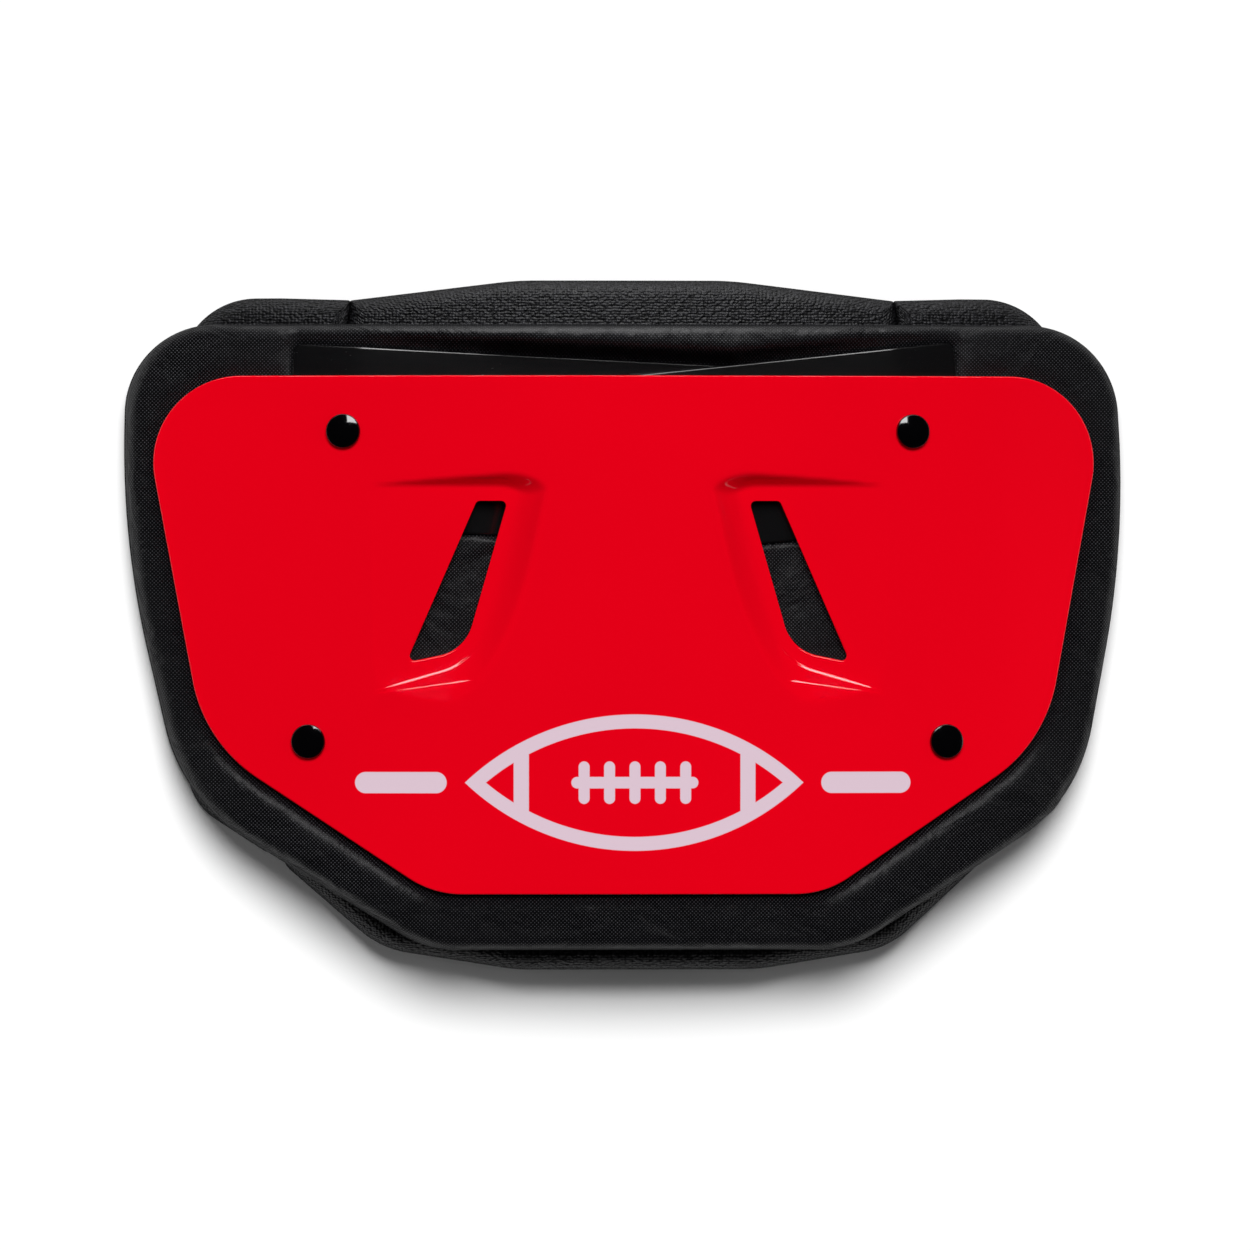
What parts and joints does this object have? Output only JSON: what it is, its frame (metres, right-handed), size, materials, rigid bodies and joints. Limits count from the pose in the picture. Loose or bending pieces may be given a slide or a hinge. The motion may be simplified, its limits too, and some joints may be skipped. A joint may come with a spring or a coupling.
{
  "type": "football back plate",
  "caption": "Padded back plate for football shoulder pads: a bent plastic shell with scooped vents riveted over a fabric covered pad, crossed attachment straps and mesh cushions behind.",
  "frame": {"origin": "middle of the plate on the surface that it lies on", "axes": "+X across the plate, +Y to the shoulder edge, +Z out of the shell's face, away from the back"},
  "size_m": [0.3296, 0.2284, 0.0474],
  "materials": {
    "shell_plastic": "smooth moulded red plastic with a satin gloss",
    "woven_cover": "plain woven black polyester over foam",
    "mesh_cover": "black knitted spacer mesh over foam",
    "strap_plastic": "smooth black flexible plastic sheet",
    "rivet_plastic": "glossy black dome"
  },
  "bodies": {
    "root": {"shell": "shell_plastic", "front_pad": "woven_cover", "back_cushion_left": "mesh_cover", "back_cushion_centre": "mesh_cover", "back_cushion_right": "mesh_cover", "strap_left": "strap_plastic", "strap_right": "strap_plastic", "rivet_top_left": "rivet_plastic", "rivet_top_right": "rivet_plastic", "rivet_bottom_left": "rivet_plastic", "rivet_bottom_right": "rivet_plastic"}
  },
  "joints": []
}
